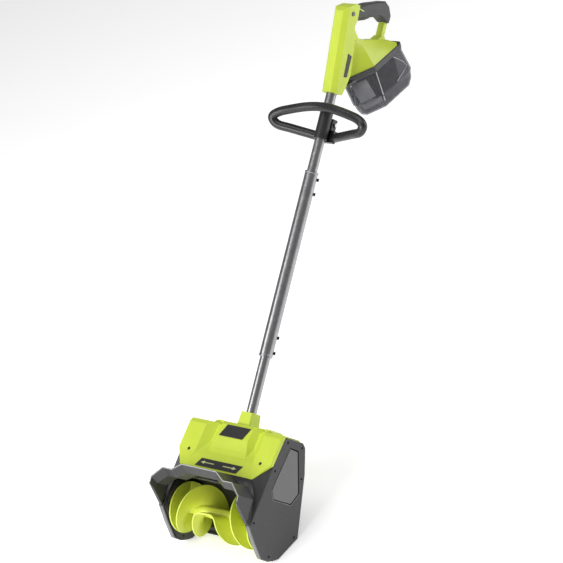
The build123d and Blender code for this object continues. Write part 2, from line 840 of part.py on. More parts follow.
with BuildPart() as loop_clamp:
    with BuildSketch(cross_plane(1064)):
        Circle(CLAMP_R)
    extrude(amount=CLAMP_S1 - 1064)
    with BuildSketch(cross_plane(CLAMP_S0)):
        with Locations((0, 22)):
            RectangleRounded(30, 20, 3)
    extrude(amount=28)
    with BuildSketch(cross_plane(1064)):
        Circle(TUBE_R + 0.06)
    extrude(amount=CLAMP_S1 - 1064, mode=Mode.SUBTRACT)
    with BuildSketch(side_plane(-20)):
        with Locations((CLAMP_BOLT_S, CLAMP_BOLT_F)):
            Circle(3.05)
    extrude(amount=40, mode=Mode.SUBTRACT)
save(loop_clamp.part, "loop_clamp")

with BuildPart() as clamp_bolt:
    with BuildSketch(side_plane(-27)):
        with Locations((CLAMP_BOLT_S, CLAMP_BOLT_F)):
            Circle(3)
    extrude(amount=46)
    with BuildSketch(side_plane(15.3)):
        with Locations((CLAMP_BOLT_S, CLAMP_BOLT_F)):
            RegularPolygon(5.5, 6)
    extrude(amount=4)
save(clamp_bolt.part, "clamp_bolt")

with BuildPart() as clamp_knob:
    with BuildSketch(side_plane(-31)):
        with Locations((CLAMP_BOLT_S, CLAMP_BOLT_F)):
            Circle(9)
            with PolarLocations(10.5, 6):
                Circle(3, mode=Mode.SUBTRACT)
    extrude(amount=12)
    with BuildSketch(side_plane(-19)):
        with Locations((CLAMP_BOLT_S, CLAMP_BOLT_F)):
            Circle(6)
    extrude(amount=3.6)
    with BuildSketch(side_plane(-27.1)):
        with Locations((CLAMP_BOLT_S, CLAMP_BOLT_F)):
            Circle(3.03)
    extrude(amount=12, mode=Mode.SUBTRACT)
    with BuildSketch(side_plane(-19)):
        with Locations((CLAMP_BOLT_S, CLAMP_BOLT_F)):
            Circle(3.03)
    extrude(amount=4, mode=Mode.SUBTRACT)
save(clamp_knob.part, "clamp_knob")

# ---------------------------------------------------------------------------
# Rear handle: body, grip, strut and bridge, split into two shells
# ---------------------------------------------------------------------------
BODY = [
    (1179, 19),
    (1375, 46),
    (1388, 38),
    (1403, 16),
    (1403, 2),
    (1366, -2),
    (1350, 3),
    (1320, -10),
    (1236, -26),
    (1201, -19),
    (1180, -12),
]
BRIDGE = [
    (1350, 10),
    (1346, -12),
    (1331, -32),
    (1338, -78),
    (1350, -104),
    (1366, -119),
    (1366, -131),
    (1352, -131),
    (1335, -112),
    (1323, -78),
    (1300, -24),
    (1300, 10),
]
STRUT = [(1355, -119), (1400, -119), (1409, -100), (1432, -118), (1418, -131), (1355, -131)]
GRIP_CORE = [
    (1372, 2),
    (1398, 8),
    (1399, -6),
    (1419, -44),
    (1441, -97),
    (1434, -113),
    (1416, -125),
    (1402, -123),
    (1411, -100),
    (1412, -88),
    (1376, -4),
]
GRIP_SKIN = [
    (1371, -7),
    (1402, 5),
    (1406, -10),
    (1425, -44),
    (1448, -98),
    (1441, -116),
    (1421, -131),
    (1402, -131),
    (1400, -118),
    (1406, -98),
    (1406, -88),
]
with BuildPart() as handle_solid:
    with BuildSketch(side_plane(-BODY_HALF)):
        Polygon(*BODY, align=None)
    extrude(amount=2 * BODY_HALF)
    front_edges = (
        handle_solid.edges()
        .filter_by(lambda e: abs(abs(e.center().X) - BODY_HALF) < 0.1)
        .filter_by(lambda e: e.length > 100)
        .sort_by(Axis(world(0, 0, 0), FRONT))[-2:]
    )
    chamfer(front_edges, length=12, length2=9)
    with BuildSketch(side_plane(-BRIDGE_HALF)):
        Polygon(*BRIDGE, align=None)
    extrude(amount=2 * BRIDGE_HALF)
    with BuildSketch(side_plane(-STRUT_HALF)):
        Polygon(*STRUT, align=None)
    extrude(amount=2 * STRUT_HALF)
    with BuildSketch(side_plane(-GRIP_HALF + OVERMOULD)):
        Polygon(*GRIP_CORE, align=None)
    extrude(amount=2 * (GRIP_HALF - OVERMOULD))
    # inside hollow for the tube, switch and board
    with BuildSketch(side_plane(-BODY_HALF + SHELL_WALL)):
        Polygon((1204, 14), (1372, 37), (1384, 31), (1390, 8), (1345, 2), (1240, -20), (1204, -14), align=None)
    extrude(amount=2 * (BODY_HALF - SHELL_WALL), mode=Mode.SUBTRACT)
    with BuildSketch(side_plane(-8)):
        Polygon((1380, 6), (1395, 6), (1408, -30), (1427, -76), (1413, -76), (1379, -6), align=None)
    extrude(amount=16, mode=Mode.SUBTRACT)
    with BuildSketch(side_plane(-7.1)):
        Polygon((1366, -4), (1398, -4), (1404, -20), (1410, -36), (1416, -66), (1392, -69), (1366, -24), align=None)
    extrude(amount=14.2, mode=Mode.SUBTRACT)
    with BuildSketch(side_plane(-11)):
        with Locations(TRIGGER_PIVOT):
            Circle(1.62)
    extrude(amount=22, mode=Mode.SUBTRACT)
    with BuildSketch(side_plane(0)):
        with Locations(LOCK_AT):
            Circle(5.6)
    extrude(amount=BODY_HALF + 1, mode=Mode.SUBTRACT)
    with BuildSketch(cross_plane(1170)):
        Circle(TUBE_R + 0.05)
    extrude(amount=130, mode=Mode.SUBTRACT)
with BuildPart() as handle_shell_right:
    add(handle_solid.part)
    split(bisect_by=Plane.YZ.offset(0.02), keep=Keep.TOP)
save(handle_shell_right.part, "handle_shell_right")

with BuildPart() as handle_shell_left:
    mirror(handle_shell_right.part, about=Plane.YZ)
save(handle_shell_left.part, "handle_shell_left")

with BuildPart() as grip_overmould:
    with BuildSketch(side_plane(-GRIP_HALF)):
        Polygon(*GRIP_SKIN, align=None)
    extrude(amount=2 * GRIP_HALF)
    skin_edges = grip_overmould.edges().filter_by(
        lambda e: abs(abs(e.center().X) - GRIP_HALF) < 0.1
    )
    chamfer(skin_edges, length=3.4)
    with BuildSketch(side_plane(-GRIP_HALF + OVERMOULD - 0.02)):
        Polygon(*GRIP_CORE, align=None)
        Polygon((1360, 4), (1400, 12), (1404, -4), (1380, -4), align=None)
    extrude(amount=2 * (GRIP_HALF - OVERMOULD + 0.02), mode=Mode.SUBTRACT)
    with BuildSketch(side_plane(-BODY_HALF)):
        Polygon(*BODY, align=None)
    extrude(amount=2 * BODY_HALF, mode=Mode.SUBTRACT)
    with BuildSketch(side_plane(-STRUT_HALF)):
        Polygon(*STRUT, align=None)
    extrude(amount=2 * STRUT_HALF, mode=Mode.SUBTRACT)
    with BuildSketch(side_plane(-7.5)):
        Polygon((1360, -9), (1385, -9), (1412, -66), (1396, -70), (1360, -30), align=None)
    extrude(amount=15, mode=Mode.SUBTRACT)
save(grip_overmould.part, "grip_overmould")

# ---------------------------------------------------------------------------
# Grip controls: trigger, lock button, springs, pin, switch, board
# ---------------------------------------------------------------------------
with BuildPart() as trigger:
    with BuildSketch(side_plane(-6.5)):
        Polygon(
            (1388, -9),
            (1396, -10),
            (1398, -20),
            (1400, -36),
            (1403, -56),
            (1399, -63),
            (1391, -60),
            (1381, -44),
            (1371, -20),
            (1371, -12),
            align=None,
        )
        with Locations(TRIGGER_PIVOT):
            Circle(1.65, mode=Mode.SUBTRACT)
    extrude(amount=13)
save(trigger.part, "trigger")

with BuildPart() as trigger_pin:
    with BuildSketch(side_plane(-11)):
        with Locations(TRIGGER_PIVOT):
            Circle(1.6)
    extrude(amount=22)
save(trigger_pin.part, "trigger_pin")

with BuildPart() as switch_body:
    with BuildSketch(side_plane(-6.5)):
        Polygon((1409, -38), (1418, -60), (1412.5, -62), (1405.5, -40), align=None)
    extrude(amount=13)
save(switch_body.part, "switch_body")

with BuildPart() as lock_button:
    with BuildSketch(side_plane(8.9)):
        with Locations(LOCK_AT):
            Circle(5.2)
    extrude(amount=BODY_HALF - 8.9 + 2.2)
    with BuildSketch(side_plane(8.9)):
        with Locations(LOCK_AT):
            Circle(6.6)
    extrude(amount=6)
save(lock_button.part, "lock_button")

with BuildPart() as lock_spring:
    for k in range(4):
        with BuildSketch(side_plane(-1 + 2 * k)):
            with Locations(LOCK_AT):
                Circle(4.4)
                Circle(3.2, mode=Mode.SUBTRACT)
        extrude(amount=1)
    with BuildSketch(side_plane(-1)):
        with Locations((LOCK_AT[0], LOCK_AT[1] + 3.8)):
            Rectangle(1, 1.2)
    extrude(amount=7)
save(lock_spring.part, "lock_spring")

with BuildPart() as control_board:
    with BuildSketch(side_plane(-15)):
        Polygon((1310, 24), (1360, 30), (1360, 28.4), (1310, 22.4), align=None)
        Polygon((1318, 22.4), (1330, 22.4), (1330, 14), (1318, 14), align=None)
        Polygon((1340, 26.5), (1350, 26.5), (1350, 18), (1340, 18), align=None)
    extrude(amount=30)
save(control_board.part, "control_board")

with BuildPart() as handle_badges:
    with BuildSketch(side_plane(BODY_HALF)):
        Polygon((1281, 2), (1279, -12), (1226, -13), (1223, -2), align=None)
    extrude(amount=1)
    mirror(about=Plane.YZ)
save(handle_badges.part, "handle_badges")

SHELL_SCREWS = [(1215.0, 0.0), (1290.0, 6.0), (1345.0, 16.0)]
with BuildPart() as shell_screws:
    for s, f in SHELL_SCREWS:
        with BuildSketch(side_plane(-BODY_HALF - 0.6)):
            with Locations((s, f)):
                Circle(3)
                RegularPolygon(1.4, 6, mode=Mode.SUBTRACT)
        extrude(amount=0.6)
save(shell_screws.part, "shell_screws")

# ---------------------------------------------------------------------------
# Battery bay: bell, rim, seal, clear box, hinge pin, latch, battery
# ---------------------------------------------------------------------------
RIM_PLAN = [(10, 820), (50, 882), (50, 992), (40, 1006)]
BELL_PLAN = [(9, 826), (46, 885), (46, 984), (36, 998)]


def inset_plan(points, d):
    """Bay outline drawn in by d on every side."""
    out = []
    for x, y in points:
        shift = d * 1.25 if y < 850 else (0 if y < 990 else -d)
        out.append((x - (d * 0.6 if x < 20 else d), y + shift))
    return out


def plan_sketch(z, points):
    """Closed symmetric bay outline at height z."""
    with BuildSketch(Plane.XY.offset(z)) as outline:
        Polygon(*mirrored(points), align=None)
    return outline.sketch


with BuildPart() as bay_rim:
    add(plan_sketch(RIM_Z0, RIM_PLAN))
    extrude(amount=RIM_Z1 - RIM_Z0)
    chamfer(bay_rim.faces().sort_by(Axis.Z)[-1].edges(), length=1.8)
    with BuildSketch(Plane.XY.offset(RIM_Z0)):
        Polygon((-17, 812), (17, 812), (19, 832), (-19, 832), align=None)
    extrude(amount=4)
    add(plan_sketch(RIM_Z0, inset_plan(RIM_PLAN, 4)))
    extrude(amount=RIM_Z1 - RIM_Z0, mode=Mode.SUBTRACT)
save(bay_rim.part, "bay_rim")

TOP_BACK = Vector(0, 105, -58).normalized()
bell_top_plane = Plane(origin=(0, 905, 848), x_dir=(1, 0, 0), z_dir=Vector(1, 0, 0).cross(TOP_BACK))
BELL_TOP = [(11, -40), (15, -8), (15, 84), (12, 92)]
with BuildPart() as battery_bell:
    with BuildSketch(Plane.XY.offset(RIM_Z1)):
        Polygon(*mirrored(BELL_PLAN), align=None)
    with BuildSketch(bell_top_plane):
        Polygon(*mirrored(BELL_TOP), align=None)
    loft(ruled=True)
    with BuildSketch(Plane.XY.offset(RIM_Z1)):
        Polygon(*mirrored(inset_plan(BELL_PLAN, 3.5)), align=None)
    with BuildSketch(bell_top_plane.offset(-4)):
        Polygon(*mirrored([(7.5, -34), (11, -6), (11, 80), (8.5, 87)]), align=None)
    loft(ruled=True, mode=Mode.SUBTRACT)
    for part in (handle_shell_right.part, handle_shell_left.part):
        add(part, mode=Mode.SUBTRACT)
bell_body = battery_bell.part.solids().sort_by(SortBy.VOLUME)[-1]
with BuildPart() as battery_bell:
    add(bell_body)
save(battery_bell.part, "battery_bell")

with BuildPart() as bay_floor:
    add(plan_sketch(RIM_Z1 - 4, inset_plan(RIM_PLAN, 4.02)))
    extrude(amount=3.9)
    with BuildSketch(Plane.XY.offset(RIM_Z1 - 4)):
        with Locations((0, BAY_MID_Y + 5)):
            Rectangle(37, 43)
    extrude(amount=4, mode=Mode.SUBTRACT)
save(bay_floor.part, "bay_floor")

with BuildPart() as terminal_block:
    with BuildSketch(Plane.XY.offset(RIM_Z1 + 0.1)):
        with Locations((0, BAY_MID_Y + 5)):
            Rectangle(42, 48)
            Rectangle(36, 42, mode=Mode.SUBTRACT)
    extrude(amount=10)
save(terminal_block.part, "terminal_block")

BOX_TOP = [(8, 818), (47, 884), (47, 990), (38, 1003)]
with BuildPart() as battery_cover:
    with BuildSketch(Plane.XY.offset(STEP_Z)):
        Polygon(*mirrored(inset_plan(BOX_TOP, 4)), align=None)
    with BuildSketch(Plane.XY.offset(RIM_Z0 - GAP)):
        Polygon(*mirrored(BOX_TOP), align=None)
    loft(ruled=True)
    with BuildSketch(Plane.XY.offset(BOX_FLOOR_Z)):
        Polygon(*mirrored([(9, 848), (38, 890), (38, 986), (31, 996)]), align=None)
    with BuildSketch(Plane.XY.offset(STEP_Z)):
        Polygon(*mirrored([(7.5, 828), (45.5, 885), (45.5, 991), (36, 1001.5)]), align=None)
    loft(ruled=True)
    with BuildSketch(Plane.XY.offset(STEP_Z)):
        Polygon(*mirrored(inset_plan(BOX_TOP, 4 + BOX_WALL)), align=None)
    with BuildSketch(Plane.XY.offset(RIM_Z0)):
        Polygon(*mirrored(inset_plan(BOX_TOP, BOX_WALL)), align=None)
    loft(ruled=True, mode=Mode.SUBTRACT)
    with BuildSketch(Plane.XY.offset(BOX_FLOOR_Z + BOX_WALL)):
        Polygon(*mirrored([(7, 851), (35, 891.5), (35, 984), (29, 992.5)]), align=None)
    with BuildSketch(Plane.XY.offset(STEP_Z + 0.1)):
        Polygon(*mirrored([(5.5, 833), (40, 887), (40, 987), (31.5, 996)]), align=None)
    loft(ruled=True, mode=Mode.SUBTRACT)
    with BuildSketch(Plane.YZ.offset(-8.5)):
        with Locations((HINGE_Y, HINGE_Z)):
            Circle(3.1)
    extrude(amount=17)
    with BuildSketch(Plane.YZ.offset(-8.5)):
        with Locations((HINGE_Y, HINGE_Z)):
            Circle(1.54)
    extrude(amount=17, mode=Mode.SUBTRACT)
save(battery_cover.part, "battery_cover")

with BuildPart() as hinge_pin:
    with BuildSketch(Plane.YZ.offset(-17)):
        with Locations((HINGE_Y, HINGE_Z)):
            Circle(1.5)
    extrude(amount=34)
save(hinge_pin.part, "hinge_pin")

with BuildPart() as hinge_knuckles:
    for x0 in (-17, 9):
        with BuildSketch(Plane.YZ.offset(x0)):
            with Locations((HINGE_Y, HINGE_Z)):
                Circle(3.1)
            Polygon(
                (HINGE_Y - 3, HINGE_Z),
                (HINGE_Y + 2.4, HINGE_Z + 1),
                (HINGE_Y + 2.4, RIM_Z0 - 0.02),
                (HINGE_Y - 2.4, RIM_Z0 - 0.02),
                align=None,
            )
            with Locations((HINGE_Y, HINGE_Z)):
                Circle(1.52, mode=Mode.SUBTRACT)
        extrude(amount=8)
save(hinge_knuckles.part, "hinge_knuckles")

with BuildPart() as cover_latch:
    with BuildSketch(Plane.YZ.offset(-13)):
        Polygon((1007, 746), (1010.5, 748), (1010.5, 779), (1007, 781), align=None)
    extrude(amount=26)
save(cover_latch.part, "cover_latch")

with BuildPart() as battery_pack:
    with BuildSketch(Plane.XY.offset(692)):
        with Locations((0, 932)):
            RectangleRounded(68, 92, 8)
    extrude(amount=78)
    chamfer(battery_pack.faces().sort_by(Axis.Z)[0].edges(), length=3)
    with BuildSketch(Plane.XY.offset(740)):
        with Locations((0, 932)):
            RectangleRounded(70, 94, 9)
    extrude(amount=14)
    with BuildSketch(Plane.XY.offset(770)):
        with Locations((0, BAY_MID_Y + 5)):
            Rectangle(34, 40)
    extrude(amount=26)
save(battery_pack.part, "battery_pack")
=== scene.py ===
import bpy
import bmesh
import math
from mathutils import Matrix, Vector

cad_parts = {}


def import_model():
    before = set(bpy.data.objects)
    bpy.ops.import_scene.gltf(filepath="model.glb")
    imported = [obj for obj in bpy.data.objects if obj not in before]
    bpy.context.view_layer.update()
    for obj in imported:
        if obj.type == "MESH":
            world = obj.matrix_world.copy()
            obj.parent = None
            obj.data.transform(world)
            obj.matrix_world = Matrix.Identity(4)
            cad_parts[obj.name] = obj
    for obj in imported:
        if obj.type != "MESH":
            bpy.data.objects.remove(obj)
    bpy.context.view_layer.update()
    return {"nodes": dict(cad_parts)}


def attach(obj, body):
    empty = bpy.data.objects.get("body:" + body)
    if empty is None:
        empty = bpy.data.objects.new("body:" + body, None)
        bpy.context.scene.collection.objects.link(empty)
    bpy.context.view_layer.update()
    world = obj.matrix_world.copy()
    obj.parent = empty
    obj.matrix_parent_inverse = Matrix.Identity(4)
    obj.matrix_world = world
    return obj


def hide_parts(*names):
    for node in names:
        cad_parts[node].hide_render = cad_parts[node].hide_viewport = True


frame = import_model()

# ---------------------------------------------------------------------------
# Shaft frame in metres: s runs up the shaft, f points to the front of it
# ---------------------------------------------------------------------------
LEAN = math.radians(48.5)
FOOT_Y = -0.1215
ALONG = Vector((0, math.sin(LEAN), math.cos(LEAN)))
FRONT = Vector((0, -math.cos(LEAN), math.sin(LEAN)))
AUGER_S = 0.131
AUGER_R = 0.063


def world(x, s, f):
    """Shaft-frame point in the row frame."""
    return Vector((x, FOOT_Y, 0)) + ALONG * s + FRONT * f


# ---------------------------------------------------------------------------
# Materials
# ---------------------------------------------------------------------------
class Graph:
    """Short way to add and link shader nodes in one material."""

    def __init__(self, name):
        self.mat = bpy.data.materials.new(name)
        self.mat.use_nodes = True
        self.tree = self.mat.node_tree
        self.shader = self.tree.nodes["Principled BSDF"]
        self.out = self.tree.nodes["Material Output"]
        self.place = self.add("ShaderNodeTexCoord").outputs["Object"]

    def add(self, kind, **values):
        node = self.tree.nodes.new(kind)
        for key, value in values.items():
            setattr(node, key, value)
        return node

    def link(self, a, b):
        self.tree.links.new(a, b)

    def noise(self, scale, detail=3.0, rough=0.5):
        node = self.add("ShaderNodeTexNoise")
        self.link(self.place, node.inputs["Vector"])
        node.inputs["Scale"].default_value = scale
        node.inputs["Detail"].default_value = detail
        node.inputs["Roughness"].default_value = rough
        return node.outputs["Fac"]

    def remap(self, value, low, high, to_low=0.0, to_high=1.0):
        node = self.add("ShaderNodeMapRange")
        self.link(value, node.inputs["Value"])
        limits = {"From Min": low, "From Max": high, "To Min": to_low, "To Max": to_high}
        for key, number in limits.items():
            node.inputs[key].default_value = number
        return node.outputs["Result"]

    def blend(self, factor, a, b):
        node = self.add("ShaderNodeMix", data_type="RGBA")
        self.link(factor, node.inputs["Factor"])
        for index, colour in ((6, a), (7, b)):
            if isinstance(colour, tuple):
                node.inputs[index].default_value = (*colour, 1)
            else:
                self.link(colour, node.inputs[index])
        return node.outputs[2]

    def math(self, operation, a, b):
        node = self.add("ShaderNodeMath", operation=operation)
        for index, value in ((0, a), (1, b)):
            if isinstance(value, (int, float)):
                node.inputs[index].default_value = value
            else:
                self.link(value, node.inputs[index])
        return node.outputs[0]

    def rounded(self, radius):
        """Normal with its edges rounded, and how much of an edge is here."""
        bevel = self.add("ShaderNodeBevel", samples=6)
        bevel.inputs["Radius"].default_value = radius
        flat = self.add("ShaderNodeNewGeometry")
        dot = self.add("ShaderNodeVectorMath", operation="DOT_PRODUCT")
        self.link(bevel.outputs[0], dot.inputs[0])
        self.link(flat.outputs["Normal"], dot.inputs[1])
        return bevel.outputs[0], self.remap(dot.outputs["Value"], 0.999, 0.93)

    def bump(self, height, strength, distance, normal=None):
        node = self.add("ShaderNodeBump")
        node.inputs["Strength"].default_value = strength
        node.inputs["Distance"].default_value = distance
        self.link(height, node.inputs["Height"])
        if normal is not None:
            self.link(normal, node.inputs["Normal"])
        self.link(node.outputs[0], self.shader.inputs["Normal"])


def scaled(colour, k):
    return tuple(min(1.0, c * k) for c in colour)


# share of the painted edge highlight that noise takes away in patches
EDGE_HIGHLIGHT_BREAKUP = 0.6


def moulded(name, colour, rough, grain=0.12, grain_scale=1500, edge=1.5, radius=0.0016):
    """Moulded plastic: fine grain, soft mottling, rounded edges with a painted highlight broken up
    in patches, and faint scuffs.
    """
    g = Graph(name)
    mottled = g.blend(g.remap(g.noise(14), 0.3, 0.7), colour, scaled(colour, 0.93))
    normal, edges = g.rounded(radius)
    # painted highlight: edges turn paler by the factor edge, broken up by noise
    painted_edge_highlight = g.math("MULTIPLY", edges, g.remap(g.noise(60, 4), 0.25, 0.6, 1 - EDGE_HIGHLIGHT_BREAKUP, 1.0))
    with_edge_highlight = g.blend(painted_edge_highlight, mottled, scaled(colour, edge))
    scuff = g.remap(g.noise(230, 5, 0.65), 0.66, 0.78, 0.0, 0.25)
    g.link(g.blend(scuff, with_edge_highlight, scaled(colour, 1.12)), g.shader.inputs["Base Color"])
    gloss = g.remap(g.noise(90, 4), 0.3, 0.7, rough - 0.05, rough + 0.06)
    g.link(gloss, g.shader.inputs["Roughness"])
    g.bump(g.noise(grain_scale, 2), grain, 0.0004, normal)
    return g.mat


def metal(name, colour, rough, metallic=1.0, brush=(1, 1, 1)):
    """Metal with faint brushing or paint grain and uneven gloss."""
    g = Graph(name)
    stretch = g.add("ShaderNodeMapping")
    g.link(g.place, stretch.inputs["Vector"])
    stretch.inputs["Rotation"].default_value = (LEAN, 0, 0)
    stretch.inputs["Scale"].default_value = brush
    lines = g.add("ShaderNodeTexNoise")
    g.link(stretch.outputs[0], lines.inputs["Vector"])
    lines.inputs["Scale"].default_value = 700
    lines.inputs["Detail"].default_value = 3
    tone = g.blend(g.remap(g.noise(35), 0.3, 0.7), colour, scaled(colour, 0.85))
    brushed = g.remap(lines.outputs["Fac"], 0.35, 0.7, 0.0, 0.35)
    worn = g.blend(brushed, tone, scaled(colour, 1.25))
    g.link(worn, g.shader.inputs["Base Color"])
    g.shader.inputs["Metallic"].default_value = metallic
    gloss = g.remap(g.noise(120, 4), 0.3, 0.7, rough - 0.03, rough + 0.05)
    g.link(gloss, g.shader.inputs["Roughness"])
    g.bump(lines.outputs["Fac"], 0.01, 0.00004)
    return g.mat


def smoky(name):
    """Smoke-tinted clear plastic with a polished skin, faint haze and a painted highlight along its
    edges.
    """
    g = Graph(name)
    normal, edges = g.rounded(0.0022)
    tint = g.blend(g.remap(g.noise(25), 0.3, 0.7), (0.68, 0.68, 0.70), (0.60, 0.60, 0.62))
    clear = g.add("ShaderNodeBsdfTransparent")
    g.link(tint, clear.inputs["Color"])
    # painted highlight: the base colour turns light grey along the edges
    g.link(g.blend(edges, (0.14, 0.14, 0.15), (0.75, 0.75, 0.76)), g.shader.inputs["Base Color"])
    g.link(g.remap(g.noise(160, 4), 0.3, 0.7, 0.06, 0.16), g.shader.inputs["Roughness"])
    g.bump(g.noise(500, 2), 0.05, 0.0002, normal)
    haze = g.remap(g.noise(45, 3), 0.3, 0.7, 0.24, 0.32)
    # the edges also turn more opaque, carrying the painted highlight
    skin = g.math("MAXIMUM", haze, g.math("MULTIPLY", edges, 0.8))
    mix = g.add("ShaderNodeMixShader")
    g.link(skin, mix.inputs[0])
    g.link(clear.outputs[0], mix.inputs[1])
    g.link(g.shader.outputs[0], mix.inputs[2])
    g.link(mix.outputs[0], g.out.inputs["Surface"])
    return g.mat


# edge sets how much paler the painted edge highlight of each plastic is
green = moulded("lime_plastic", (0.56, 0.68, 0.056), 0.38, edge=1.3)
auger_green = moulded(
    "lime_auger_plastic", (0.74, 0.82, 0.085), 0.33, grain=0.08, edge=1.5, radius=0.0012,
)
dark = moulded("charcoal_plastic", (0.040, 0.040, 0.041), 0.42, grain=0.2, edge=3.4)
black = moulded("black_plastic", (0.022, 0.022, 0.023), 0.38, grain=0.2, edge=3.0)
grey = moulded("grey_panel_plastic", (0.145, 0.145, 0.147), 0.42, grain=0.2, edge=1.7)
pale = moulded("pale_arrow_print", (0.62, 0.70, 0.30), 0.5, grain=0.05, edge=1.0)
rubber = moulded(
    "soft_grip_rubber", (0.045, 0.045, 0.047), 0.5, grain=0.5, grain_scale=900, edge=2.0,
)
loop_rubber = moulded(
    "loop_rubber", (0.017, 0.017, 0.018), 0.30, grain=0.3, grain_scale=1100, edge=1.4,
)
tube = metal("gunmetal_tube", (0.38, 0.38, 0.39), 0.30, metallic=0.95, brush=(0.12, 0.12, 0.01))
steel = metal("plain_steel", (0.60, 0.60, 0.61), 0.28)
screw = metal("black_screw_steel", (0.03, 0.03, 0.03), 0.35, metallic=0.6)
motor_can = metal("motor_can", (0.45, 0.45, 0.46), 0.32)
belt = moulded("belt_rubber", (0.02, 0.02, 0.02), 0.6, grain=0.4, edge=1.2)
board = moulded("board_green", (0.02, 0.11, 0.05), 0.35, edge=1.2)
cell = moulded("battery_case_plastic", (0.022, 0.022, 0.023), 0.4, grain=0.2, edge=3.0)
clear = smoky("smoked_clear_plastic")
rim_green = moulded("lime_rim_plastic", (0.66, 0.78, 0.10), 0.3, grain=0.05, edge=1.2)
# light grey for painted highlights on the side cover front edges and panel lips
edge_highlight_grey = moulded("painted_edge_highlight_plastic", (0.22, 0.22, 0.223), 0.4, grain=0.15, edge=1.3)
# light grey for the painted highlight along the visor's front edge
visor_highlight_grey = moulded("visor_edge_highlight_plastic", (0.46, 0.46, 0.465), 0.35, grain=0.1, edge=1.2)
# light grey for strips on the clear box: painted highlights along its corners and panel
highlight_strip_grey = moulded("painted_highlight_strip_plastic", (0.62, 0.62, 0.63), 0.18, grain=0.04, edge=1.2)
# light grey for sheets just inside the clear walls, which make the walls read light grey
pale_sheet_grey = moulded("box_pale_sheet_plastic", (0.62, 0.62, 0.63), 0.35, grain=0.1, edge=1.2)

FINISH = {
    green: ["top_cover", "handle_shell_right", "handle_shell_left", "battery_bell"],
    auger_green: ["auger"],
    dark: [
        "side_cover_right", "side_cover_left", "visor", "bay_rim", "hinge_knuckles",
        "cover_latch", "clamp_knob",
    ],
    black: [
        "auger_housing", "scraper_blade", "head_badge", "width_badge", "loop_clamp",
        "trigger", "switch_body", "handle_badges", "bay_floor", "terminal_block", "auger_pulley",
    ],
    grey: ["side_panel_right", "side_panel_left", "lock_button"],
    rubber: ["grip_overmould"],
    loop_rubber: ["loop_handle"],
    tube: ["lower_tube", "upper_tube", "coupler_tube"],
    steel: [
        "scraper_screws", "auger_shaft", "auger_bearings", "motor_rotor", "motor_pulley",
        "clamp_bolt", "trigger_pin", "lock_spring", "hinge_pin",
    ],
    screw: ["side_cover_screws", "cover_screws", "coupler_screws", "shell_screws"],
    motor_can: ["drive_motor"],
    belt: ["drive_belt", "power_cable"],
    board: ["control_board"],
    cell: ["battery_pack"],
    clear: ["battery_cover"],
}
for finish, names in FINISH.items():
    for name in names:
        mesh = frame["nodes"][name].data
        mesh.materials.clear()
        mesh.materials.append(finish)

# ---------------------------------------------------------------------------
# Mesh helpers
# ---------------------------------------------------------------------------
scene = bpy.context.scene
CREASE = math.radians(32)


def piece(name, points, faces, finish, body, slot_name, thickness=0.0, bevel=0.0):
    """Mesh object riding on a body, smooth up to the crease angle."""
    mesh = bpy.data.meshes.new(name)
    mesh.from_pydata([tuple(p) for p in points], [], faces)
    work = bmesh.new()
    work.from_mesh(mesh)
    bmesh.ops.remove_doubles(work, verts=work.verts, dist=1e-6)
    bmesh.ops.recalc_face_normals(work, faces=work.faces)
    work.to_mesh(mesh)
    work.free()
    for face in mesh.polygons:
        face.use_smooth = True
    mesh.set_sharp_from_angle(angle=CREASE)
    mesh.materials.append(finish)
    obj = bpy.data.objects.new(name, mesh)
    scene.collection.objects.link(obj)
    if thickness:
        wall = obj.modifiers.new("wall", "SOLIDIFY")
        wall.thickness = thickness
        wall.offset = -1
    if bevel:
        soft = obj.modifiers.new("edges", "BEVEL")
        soft.width = bevel
        soft.segments = 2
        soft.angle_limit = CREASE
    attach(obj, body)
    return obj


def grid_faces(rows, columns, close_rows=False, close_columns=False, start=0):
    """Quads of a rows x columns grid of points."""
    faces = []
    for i in range(rows if close_rows else rows - 1):
        for j in range(columns if close_columns else columns - 1):
            a, b = i * columns, ((i + 1) % rows) * columns
            k = (j + 1) % columns
            faces.append((start + a + j, start + a + k, start + b + k, start + b + j))
    return faces


def prism(outline, shift):
    """Points and faces of a flat outline pushed by a vector."""
    n = len(outline)
    points = list(outline) + [p + shift for p in outline]
    faces = [tuple(range(n)), tuple(range(2 * n - 1, n - 1, -1))]
    faces += [(i, (i + 1) % n, n + (i + 1) % n, n + i) for i in range(n)]
    return points, faces


# ---------------------------------------------------------------------------
# Auger: two blades whose rims run smoothly from helix to paddle and back
# ---------------------------------------------------------------------------
BLADE = 0.003
BLADE_X = 0.1215
HUB_R = 0.013
PADDLE = (-0.0454, 0.0188)
CORNER_R = 0.019
PADDLE_LIFT = math.radians(8)
PITCH = 0.1044
ARC_STEPS = 12
TRACK_STEP = 0.003
RIM_DROP = 0.0012
ROUND_STEPS = 96
auger_centre = world(0, AUGER_S, 0)


def around(x, radius, angle):
    """Point round the auger axis; the angle runs from straight down toward the front."""
    y = auger_centre.y - math.sin(angle) * radius
    z = auger_centre.z - math.cos(angle) * radius
    return Vector((x, y, z))


def rounded_track(corners, radius, step):
    """Track of points along straight legs with arcs of one radius at the corners."""
    track = [corners[0]]
    for before, corner, after in zip(corners, corners[1:], corners[2:]):
        u = (before - corner).normalized()
        v = (after - corner).normalized()
        half = u.angle(v) / 2
        reach = radius / math.tan(half)
        centre = corner + (u + v).normalized() * radius / math.sin(half)
        first, last = corner + u * reach, corner + v * reach
        arm_a, arm_b = first - centre, last - centre
        turn = arm_a.angle(arm_b)
        for k in range(ARC_STEPS + 1):
            t = k / ARC_STEPS
            from_a = arm_a * math.sin((1 - t) * turn) / math.sin(turn)
            from_b = arm_b * math.sin(t * turn) / math.sin(turn)
            track.append(centre + (from_a + from_b))
    track.append(corners[-1])
    dense = [track[0]]
    for a, b in zip(track, track[1:]):
        count = max(1, int((b - a).length / step))
        dense += [a.lerp(b, (k + 1) / count) for k in range(count)]
    return dense


